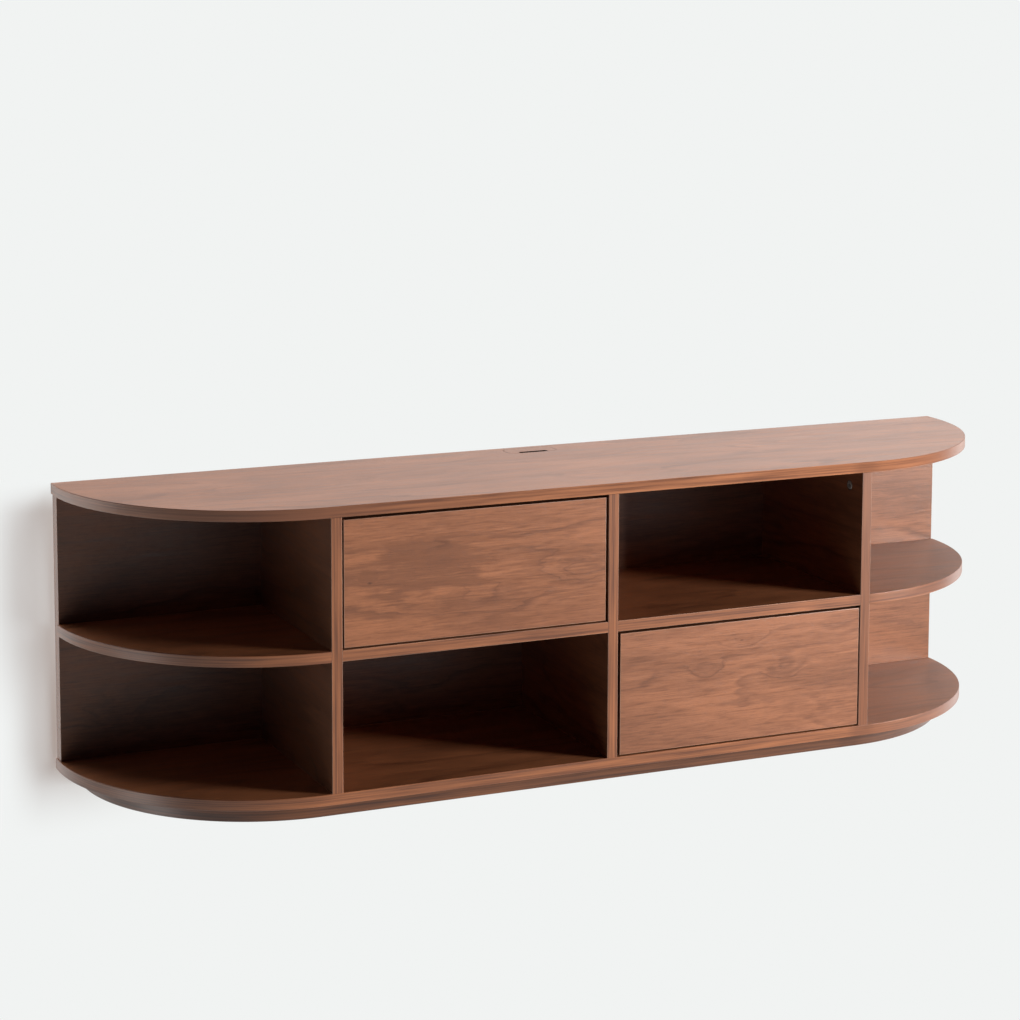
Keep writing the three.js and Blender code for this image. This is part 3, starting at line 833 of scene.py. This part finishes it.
class CONSOLE_OT_cable_cover(bpy.types.Operator):
    """Makes the lift-out cable cover with the slot in its front edge"""

    bl_idname = "console.cable_cover"
    bl_label = "Cable cover"

    def execute(self, context):
        low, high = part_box("cable_cover")
        half, inner, corner = sizes().slot_half, sizes().slot_corner, sizes().cover_corner
        y = low.y + sizes().slot_depth - inner
        plan = [
            *arc(-half + inner, y, inner, 2 * QUARTER, QUARTER, 6),
            *arc(half - inner, y, inner, QUARTER, 0, 6),
            Vector((half, low.y)),
            *arc(high.x - corner, low.y + corner, corner, -QUARTER, 0, 8),
            *arc(high.x - corner, high.y - corner, corner, 0, QUARTER, 8),
            *arc(low.x + corner, high.y - corner, corner, QUARTER, 2 * QUARTER, 8),
            *arc(low.x + corner, low.y + corner, corner, 2 * QUARTER, 3 * QUARTER, 8),
            Vector((-half, low.y)),
        ]
        board = Board(high.z - low.z, sizes().cover_ease, shift=1)
        board.rim(plan)
        cover = board.finish("cable_cover_board", lying(low.z), finishes("face", "cut", "cut", "cut"))
        settle(cover, "cable_cover", "walnut_veneer", "cable_cover")
        return {"FINISHED"}


class CONSOLE_OT_bottom(bpy.types.Operator):
    """Makes the bottom board"""

    bl_idname = "console.bottom"
    bl_label = "Bottom"

    def execute(self, context):
        node, kinds = "bottom_panel", ("inner", "band", "cut", "band")
        lying_board("bottom_board", node, sizes().board_ease, 2, round_end_plan(node), kinds)
        return {"FINISHED"}


class CONSOLE_OT_plinth(bpy.types.Operator):
    """Makes the set-back plinth board under the bottom"""

    bl_idname = "console.plinth"
    bl_label = "Plinth"

    def execute(self, context):
        node, kinds = "plinth_board", ("plinth", "plinth_band", "cut", "plinth_band")
        plan = round_end_plan(node)
        lying_board("plinth", node, sizes().plinth_ease, 3, plan, kinds, "plinth_walnut")
        return {"FINISHED"}


class CONSOLE_OT_back(bpy.types.Operator):
    """Makes the back panel with its cable holes, its screws and the groove for the hanging rails"""

    bl_idname = "console.back"
    bl_label = "Back panel"

    def execute(self, context):
        low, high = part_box("back_panel")
        board = Board(high.y - low.y, sizes().inner_ease, shift=4)
        board.rim(rectangle((low.x, low.z), (high.x, high.z)))
        half_hole, hole_radius = 0.030, 0.015
        for x, z in ((-0.404, -0.330), (0.069, -0.104)):
            corners = (x - half_hole, z - hole_radius), (x + half_hole, z + hole_radius)
            board.hole(rounded_rectangle(*corners, hole_radius, 12))
        groove, groove_depth = rectangle((-0.710, -0.025), (0.710, 0.047)), 0.007
        board.pocket(groove, groove_depth, from_high=False)
        into_dividers = [(x, z) for x in (-0.473, 0, 0.473) for z in (-0.350, -0.235, -0.075)]
        into_shelves = [(x, -0.163) for x in (-0.75, -0.60, -0.33, -0.14, 0.14, 0.33, 0.60, 0.75)]
        screws = into_dividers + into_shelves
        sink_radius, sink_depth = 0.0046, 0.0022
        for x, z in screws:
            board.pocket(circle(x, z, sink_radius, 24), sink_depth, from_high=False)
        back = board.finish("back_board", facing(0), finishes("niche", "band", "cut", "arris"))
        settle(back, "cabinet", "walnut_veneer", "back_panel")
        pan_heads("back_screws", [(x, -sink_depth, z) for x, z in screws], Y, "cabinet", "back")
        return {"FINISHED"}


class CONSOLE_OT_dividers(bpy.types.Operator):
    """Makes the three dividers with the holes for their cams"""

    bl_idname = "console.dividers"
    bl_label = "Dividers"

    def execute(self, context):
        cable_notch = (0.050, 0.045)
        for number, side in enumerate(DIVIDERS):
            node = f"{side}_divider"
            low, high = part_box(node)
            board = Board(high.x - low.x, sizes().inner_ease, shift=5 + 3 * number)
            corners = (low.y, low.z), (high.y, high.z)
            if side == "centre":
                board.rim(notched_rectangle(*corners, cable_notch, sizes().notch_corner))
            else:
                board.rim(rectangle(*corners))
            for place in CAM_PLACES:
                c_low, c_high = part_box(f"{side}_cam_{place}")
                y, z = (c_low.y + c_high.y) / 2, (c_low.z + c_high.z) / 2
                radius = (c_high.z - c_low.z) / 2 + sizes().cam_gap
                board.pocket(circle(y, z, radius), c_high.x - c_low.x, from_high=side != "right")
            made = board.finish(f"{node}_board", standing(low.x), finishes("niche", "band", "cut", "arris"))
            settle(made, "cabinet", "walnut_veneer", node)
        return {"FINISHED"}


class CONSOLE_OT_end_shelves(bpy.types.Operator):
    """Makes the quarter-round shelves of the open ends"""

    bl_idname = "console.end_shelves"
    bl_label = "End shelves"

    def execute(self, context):
        lead, straight = sizes().end_lead, sizes().end_straight
        radius = -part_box("top_panel")[0].y - straight
        kinds = ("inner", "band", "cut", "band")
        for number, sign in enumerate((-1, 1)):
            node = f"{SIDES[number]}_end_shelf"
            low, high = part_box(node)
            inner = high.x if sign < 0 else low.x
            last = -math.asin((-high.y - straight) / radius)
            rim = arc(lead, -straight, radius, -QUARTER, last, sizes().round_steps)
            plan = [Vector((0, low.y)), *rim, Vector((0, high.y))]
            plan = [Vector((inner + sign * p.x, p.y)) for p in plan]
            lying_board(f"{node}_board", node, sizes().board_ease, 8 + number, plan, kinds)
        return {"FINISHED"}


class CONSOLE_OT_bay_shelves(bpy.types.Operator):
    """Makes the shelves between the drawers and the niches"""

    bl_idname = "console.bay_shelves"
    bl_label = "Bay shelves"

    def execute(self, context):
        cable_notch, kinds = (0.060, 0.035), ("inner", "band", "cut", "arris")
        for number, side in enumerate(SIDES):
            node = f"{side}_bay_shelf"
            low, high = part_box(node)
            plan = rectangle((low.x, low.y), (high.x, high.y))
            if side == "left":
                plan = notched_rectangle(plan[0], plan[2], cable_notch, sizes().notch_corner)
            lying_board(f"{node}_board", node, sizes().inner_ease, 10 + number, plan, kinds)
        return {"FINISHED"}


class CONSOLE_OT_fronts(bpy.types.Operator):
    """Makes the two drawer fronts"""

    bl_idname = "console.fronts"
    bl_label = "Drawer fronts"

    def execute(self, context):
        for number, side in enumerate(SIDES):
            node = f"{side}_drawer_front"
            low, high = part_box(node)
            aside = sizes().hang_aside * (-1 if side == "left" else 1)
            down = sizes().hang_down
            board = Board(high.y - low.y, sizes().front_ease, shift=12 + number)
            board.rim(rectangle((low.x + aside, low.z - down), (high.x + aside, high.z - down)))
            look = FRONT_TONE[side], FRONT_FIGURE[side], FRONT_KNOTS[side]
            veneer = walnut(f"{side} front veneer", *look, board.offset)
            materials = [veneer, *finishes("front_band", "cut", "arris")]
            made = board.finish(f"{node}_board", facing(high.y), materials)
            settle(made, f"{side}_drawer", "walnut_veneer", node)
        return {"FINISHED"}


class CONSOLE_OT_boxes(bpy.types.Operator):
    """Gives the drawer boxes their laminate"""

    bl_idname = "console.boxes"
    bl_label = "Drawer boxes"

    def execute(self, context):
        parts = ("left_side", "right_side", "back", "bottom")
        dress([f"{drawer}_drawer_{part}" for drawer in SIDES for part in parts], finish_of("laminate"))
        return {"FINISHED"}


class CONSOLE_OT_runners(bpy.types.Operator):
    """Gives the telescopic runners their plated steel and their screws"""

    bl_idname = "console.runners"
    bl_label = "Runners"

    def execute(self, context):
        strip, screw_inset = 0.00125, 0.035
        for drawer in SIDES:
            for side, inwards in zip(SIDES, (1, -1)):
                runner = f"{drawer}_drawer_{side}"
                dress([f"{runner}_{kind}_member" for kind in ("fixed", "middle", "box")], finish_of("steel"))
                for kind, out, body in (("fixed", inwards, "cabinet"), ("box", -inwards, f"{drawer}_drawer")):
                    low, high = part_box(f"{runner}_{kind}_member")
                    x = (low.x if out > 0 else high.x) + out * strip
                    z = (low.z + high.z) / 2
                    spots = [(x, y, z) for y in (low.y + screw_inset, high.y - screw_inset)]
                    pan_heads(f"{runner}_{kind}_screws", spots, (out, 0, 0), body, "runner")
        return {"FINISHED"}


class CONSOLE_OT_latches(bpy.types.Operator):
    """Gives the push latches their plastic, their rubber and their screws"""

    bl_idname = "console.latches"
    bl_label = "Push latches"

    def execute(self, context):
        dress([f"{drawer}_drawer_latch_housing" for drawer in SIDES], finish_of("plastic"))
        dress([f"{drawer}_drawer_latch_plunger" for drawer in SIDES], finish_of("rubber"))
        half_span, flange_y = 0.0165, -0.028
        for drawer in SIDES:
            low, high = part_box(f"{drawer}_drawer_latch_housing")
            x, z = (low.x + high.x) / 2, (low.z + high.z) / 2
            spots = [(x - half_span, flange_y, z), (x + half_span, flange_y, z)]
            pan_heads(f"{drawer}_latch_screws", spots, FRONTWARDS, "cabinet", "latch")
        return {"FINISHED"}


class CONSOLE_OT_cams(bpy.types.Operator):
    """Gives the cams their cast zinc"""

    bl_idname = "console.cams"
    bl_label = "Cams"

    def execute(self, context):
        dress([f"{side}_cam_{place}" for side in DIVIDERS for place in CAM_PLACES], finish_of("cast"))
        return {"FINISHED"}


class CONSOLE_OT_rails(bpy.types.Operator):
    """Gives the hanging rails their plated steel, with screws in one and slotted holes in the other"""

    bl_idname = "console.rails"
    bl_label = "Hanging rails"

    def execute(self, context):
        dress(["panel_rail"], finish_of("steel"))
        places = [sizes().rail_pitch * i for i in range(-4, 5)]
        strip_back, screw_drop = -0.005, 0.011
        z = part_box("panel_rail")[1].z - screw_drop
        pan_heads("panel_rail_screws", [(x, strip_back, z) for x in places], Y, "cabinet", "rail")
        rail = new_object("wall_rail_strip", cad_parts["wall_rail"].data.copy())
        rail.data.materials.clear()
        rail.data.materials.append(finish_of("steel"))
        half_length, radius, depth = 0.007, 0.003, 0.02
        for x in places:
            slot_hole = Board(depth, 0)
            slot_hole.rim(rounded_rectangle((x - half_length, -radius), (x + half_length, radius), radius, 6))
            cutter = slot_hole.finish("cutter", facing(depth / 2), [])
            cutter.modifiers.clear()
            modifier = rail.modifiers.new("hole", "BOOLEAN")
            modifier.operation = "DIFFERENCE"
            modifier.object = cutter
            bake_shape(rail)
            bpy.data.objects.remove(cutter)
        settle(rail, "cabinet", "zinc_steel", "wall_rail")
        return {"FINISHED"}


def pan_heads(name, spots, outwards, body, kind):
    """Cross-head screws in one piece: heads whose undersides lie at the spots."""
    radius, height = SCREW_HEADS[kind]
    ease, cross_arm, cross_half, cross_depth = height * 0.55, radius * 0.52, radius * 0.13, height * 0.6
    first_turn, turn_between = 0.7, 1.9
    out = Vector(outwards)
    made = []
    for number, spot in enumerate(spots):
        head = Board(height, ease, steps=4)
        head.rim(circle(0, 0, radius, 28))
        head.pocket(cross_outline(cross_arm, cross_half), cross_depth)
        turn = Matrix.Rotation(first_turn + turn_between * number, 4, "Z")
        place = placing(Z, out.cross(Vector(Z)), out, spot) @ turn
        made.append(head.finish(f"{name}_{number}", place, [finish_of("screw")]))
    joined = made[0]
    with bpy.context.temp_override(
        active_object=joined, object=joined, selected_objects=made, selected_editable_objects=made
    ):
        bpy.ops.object.join()
    joined.name = name
    for polygon in joined.data.polygons:
        polygon.material_index = 0
    settle(joined, body, "zinc_steel")


# Studio

# How much brighter the wall's low part shows in the gloss: along X from, along X to, and gain
WALL_GLOSS = (
    (-0.80, -0.83, 0.95),
    (0.80, 0.83, -0.7),
    (0.98, 1.15, 2.2),
    (2.2, 3.5, -2.0),
)


def sheet_of(name, corners, material, bounces=False):
    """A big flat sheet of the studio, which casts no shadow."""
    data = bpy.data.meshes.new(name)
    data.from_pydata(corners, [], [(0, 1, 2, 3)])
    data.materials.append(material)
    obj = new_object(name, data)
    obj.visible_diffuse = bounces
    obj.visible_shadow = False
    obj.visible_transmission = False
    return obj


def one_sided(f, *shaders):
    """The sum of the shaders on the front of a sheet, and nothing on its back."""
    total = shaders[0].outputs[0]
    for shader in shaders[1:]:
        total = f.node("ShaderNodeAddShader", {0: total, 1: shader.outputs[0]}).outputs[0]
    behind = f.node("ShaderNodeNewGeometry").outputs["Backfacing"]
    clear = f.node("ShaderNodeBsdfTransparent").outputs[0]
    mix = f.node("ShaderNodeMixShader", {0: behind, 1: total, 2: clear})
    f.tree.nodes.remove(f.shader)
    f.feed(f.output.inputs["Surface"], mix.outputs[0])
    return f.material


def plain_paint(name, pale, strength=1.0, far_right=False):
    """Even pale paint that keeps its tone in any light. In the gloss alone it can have a bright
    stretch and a dull one far to the right."""
    f = Finish(name)
    grain = f.noise(f.place(), scale=2.0, detail=2)
    tone = f.shades(grain, 0.3, 0.7, pale, 0.998, 1.0)
    if far_right:
        axes = f.axes()
        bright = f.part(f.spread(axes["X"], 2.2, 2.7, 0.0, 1.8), f.spread(axes["Y"], -3.4, -2.8))
        mirrored = f.part(f.total(bright, 1.0), f.spread(axes["X"], 4.0, 5.5, 1.0, 0.1))
        glossy = f.node("ShaderNodeLightPath").outputs["Is Glossy Ray"]
        strength = f.total(f.part(f.total(mirrored, -1.0), glossy), strength)
    return one_sided(f, f.node("ShaderNodeEmission", {"Color": tone, "Strength": strength}))


def shadow_share(f, axes):
    """The console's soft shadow beside its left end, which reaches less far at the bottom."""

    def reach(clear, full, kept):
        near_console = f.spread(axes["X"], -0.852, -0.831, 1.0, kept)
        return f.part(f.fade(axes["X"], clear, full), near_console)

    lower = f.fade(axes["Z"], -0.12, -0.34)
    upper = f.math("SUBTRACT", 1.0, lower)
    share = f.total(f.part(reach(-0.95, -0.875, 0.725), upper), f.part(reach(-0.915, -0.845, 0.9), lower))
    for axis, clear, full in (("X", -0.60, -0.80), ("Z", -0.52, -0.36), ("Z", 0.080, 0.020)):
        share = f.part(share, f.fade(axes[axis], clear, full))
    return share


def wall_paint(name, pale, shade, bounce):
    """Pale paint that takes the console's shadow, and has brighter and duller parts in the gloss."""
    f = Finish(name)
    axes = f.axes()
    taken = f.blend(shadow_share(f, axes), 0, shade)
    lit = f.blend(1.0, pale, taken, "MULTIPLY")
    glow = f.blend(1.0, pale, f.blend(1.0, 1, taken, "SUBTRACT"), "MULTIPLY")
    over = f.spread(axes["X"], -0.9, 0.9, 0.54, 1.32)
    below_top = f.spread(axes["Z"], 0.070, 0.078, 1.0, 0.0)
    beside_top = f.part(f.spread(axes["X"], -0.83, -0.99, 0.0, 2.2), f.spread(axes["Z"], -0.16, -0.10))
    gains = [f.spread(axes["X"], start, end, 0.0, gain) for start, end, gain in WALL_GLOSS]
    mirrored = f.total(over, f.part(below_top, f.total(beside_top, *gains)))
    ray = f.node("ShaderNodeLightPath").outputs
    strength = f.total(
        f.part(ray["Is Glossy Ray"], f.math("SUBTRACT", mirrored, 1.0)),
        f.part(ray["Is Diffuse Ray"], bounce - 1.0),
        1.0,
    )
    glow = f.blend(ray["Is Glossy Ray"], glow, pale)
    f.material.cycles.emission_sampling = "NONE"
    paint = f.node("ShaderNodeBsdfDiffuse", {"Color": lit})
    return one_sided(f, paint, f.node("ShaderNodeEmission", {"Color": glow, "Strength": strength}))


def direction(around, height):
    """Towards a light that stands round to the right of the front, and above the level."""
    level = math.cos(height)
    return Vector((math.sin(around) * level, -math.cos(around) * level, math.sin(height)))


def light(name, kind, towards, colour, energy, receivers, **settings):
    data = bpy.data.lights.new(name, kind)
    data.energy = energy
    data.color = colour
    for key, value in settings.items():
        setattr(data, key, value)
    obj = new_object(name, data)
    obj.rotation_euler = towards.to_track_quat("Z", "Y").to_euler()
    obj.light_linking.receiver_collection = receivers
    return obj


def only(name, objects, state="INCLUDE"):
    """A list of objects that a light reaches, or leaves out."""
    group = bpy.data.collections.new(name)
    for obj in objects:
        group.objects.link(obj)
    for entry in group.collection_objects:
        entry.light_linking.link_state = state
    return group


def surroundings(pale, ambient):
    """The camera sees the pale colour all round, and the console gets a little even bluish light."""
    world = bpy.data.worlds.new("studio")
    bpy.context.scene.world = world
    f, bluish = Nodes(world), (0.6, 1.1, 2.1, 1)
    given = f.node("ShaderNodeBackground", {"Color": bluish, "Strength": ambient}).outputs[0]
    seen = f.node("ShaderNodeBackground", {"Color": (*pale, 1)}).outputs[0]
    by_camera = f.node("ShaderNodeLightPath").outputs["Is Camera Ray"]
    mix = f.node("ShaderNodeMixShader", {0: by_camera, 1: given, 2: seen})
    f.node("ShaderNodeOutputWorld", {"Surface": mix.outputs[0]})


def camera():
    """The photograph's viewing point, solved from the console's edges."""
    focal, centre_y, image = 2637.6, 300.0, 1020.0
    yaw, pitch, roll = (math.radians(a) for a in (24.154, 6.929, 0.155))
    place = Vector((-1.8523, -4.0810, 0.8715))
    forward = direction(math.pi - yaw, -pitch)
    right = Vector((math.cos(yaw), -math.sin(yaw), 0))
    up = right.cross(forward)
    right, up = (
        right * math.cos(roll) + up * math.sin(roll),
        up * math.cos(roll) - right * math.sin(roll),
    )
    data = bpy.data.cameras.new("camera")
    data.sensor_width = 36
    data.lens = focal / image * data.sensor_width
    data.shift_y = -(image / 2 - centre_y) / image
    data.clip_end = 100
    obj = new_object("camera", data)
    turn = Matrix((right, up, -forward)).transposed()
    obj.matrix_world = Matrix.Translation(place) @ turn.to_4x4()
    bpy.context.scene.camera = obj


class CONSOLE_OT_stage(bpy.types.Operator):
    """Makes the wall, the floor, the lights and the camera, once the top is made"""

    bl_idname = "console.stage"
    bl_label = "Studio"

    def execute(self, context):
        stage = context.scene.console_stage
        pale = tuple(looks().pale)
        far, wall_y, floor_z = 30.0, 0.0006, -1.25
        wall = sheet_of(
            "wall",
            [(-far, wall_y, floor_z), (far, wall_y, floor_z), (far, wall_y, far), (-far, wall_y, far)],
            wall_paint("wall paint", pale, looks().shade, stage.bounce),
            bounces=True,
        )
        floor = sheet_of(
            "floor",
            [(-far, -far, floor_z), (far, -far, floor_z), (far, wall_y, floor_z), (-far, wall_y, floor_z)],
            plain_paint("floor paint", pale, far_right=True),
        )
        card_x, card_y, card_z = -2.0, -0.60, -0.42
        card = sheet_of(
            "left card",
            [(card_x, card_y, floor_z), (card_x, 0, floor_z), (card_x, 0, card_z), (card_x, card_y, card_z)],
            plain_paint("card paint", pale, stage.card_power),
        )
        card.visible_camera = False
        studio = (wall, floor, card)
        top = [bpy.data.objects[name] for name in ("top_board", "cable_cover_board")]
        console_only = only("all but the studio", studio, "EXCLUDE")
        below_top = only("all but the studio and the top", (*studio, *top), "EXCLUDE")
        top_only = only("top alone", top)

        aim, warm = Vector((0, -0.18, -0.17)), (1, 0.985, 0.96)
        towards = direction(stage.key_round, stage.key_height)
        keys = (
            ("key light", below_top, True),
            ("key light on the top", top_only, False),
        )
        for name, receivers, glossy in keys:
            key = light(name, "AREA", towards, warm, stage.key_power, receivers, size=stage.key_size)
            key.location = aim + towards * stage.key_distance
            key.visible_glossy = glossy

        towards = direction(stage.wall_round, stage.wall_height)
        even = math.pi / -towards.y
        wall_only = only("wall alone", (wall,))
        light("wall light", "SUN", towards, (1, 1, 1), even, wall_only, angle=math.radians(70))
        suns = (
            ("side", (1, 0.99, 0.98), 40),
            ("top", (0.97, 0.985, 1), 60),
            ("floor", (1, 0.98, 0.96), 50),
        )
        for kind, colour, softness in suns:
            towards = direction(getattr(stage, f"{kind}_round"), getattr(stage, f"{kind}_height"))
            power = getattr(stage, f"{kind}_power")
            light(f"{kind} light", "SUN", towards, colour, power, console_only, angle=math.radians(softness))
        surroundings(pale, stage.ambient)
        camera()
        context.scene.view_settings.view_transform = "Standard"
        return {"FINISHED"}


class CONSOLE_PT_sidebar(bpy.types.Panel):
    """Lists the console's settings and the operators that make its pieces"""

    bl_label = "Media console"
    bl_idname = "CONSOLE_PT_sidebar"
    bl_space_type = "VIEW_3D"
    bl_region_type = "UI"
    bl_category = "Console"

    def draw(self, context):
        for name, group in GROUPS.items():
            box = self.layout.box()
            for key in group.__annotations__:
                box.prop(getattr(context.scene, name), key)
        column = self.layout.column()
        for operator in OPERATORS:
            column.operator(operator.bl_idname)


OPERATORS = (
    CONSOLE_OT_top,
    CONSOLE_OT_cable_cover,
    CONSOLE_OT_bottom,
    CONSOLE_OT_plinth,
    CONSOLE_OT_back,
    CONSOLE_OT_dividers,
    CONSOLE_OT_end_shelves,
    CONSOLE_OT_bay_shelves,
    CONSOLE_OT_fronts,
    CONSOLE_OT_boxes,
    CONSOLE_OT_runners,
    CONSOLE_OT_latches,
    CONSOLE_OT_cams,
    CONSOLE_OT_rails,
    CONSOLE_OT_stage,
)
CLASSES = (*GROUPS.values(), *OPERATORS, CONSOLE_PT_sidebar)


def register():
    for cls in CLASSES:
        bpy.utils.register_class(cls)
    for name, group in GROUPS.items():
        setattr(bpy.types.Scene, name, PointerProperty(type=group))


def unregister():
    for name in GROUPS:
        delattr(bpy.types.Scene, name)
    for cls in reversed(CLASSES):
        bpy.utils.unregister_class(cls)


def main():
    register()
    for operator in OPERATORS:
        group, name = operator.bl_idname.split(".")
        getattr(getattr(bpy.ops, group), name)()
    bpy.context.view_layer.update()


if __name__ == "__main__":
    main()
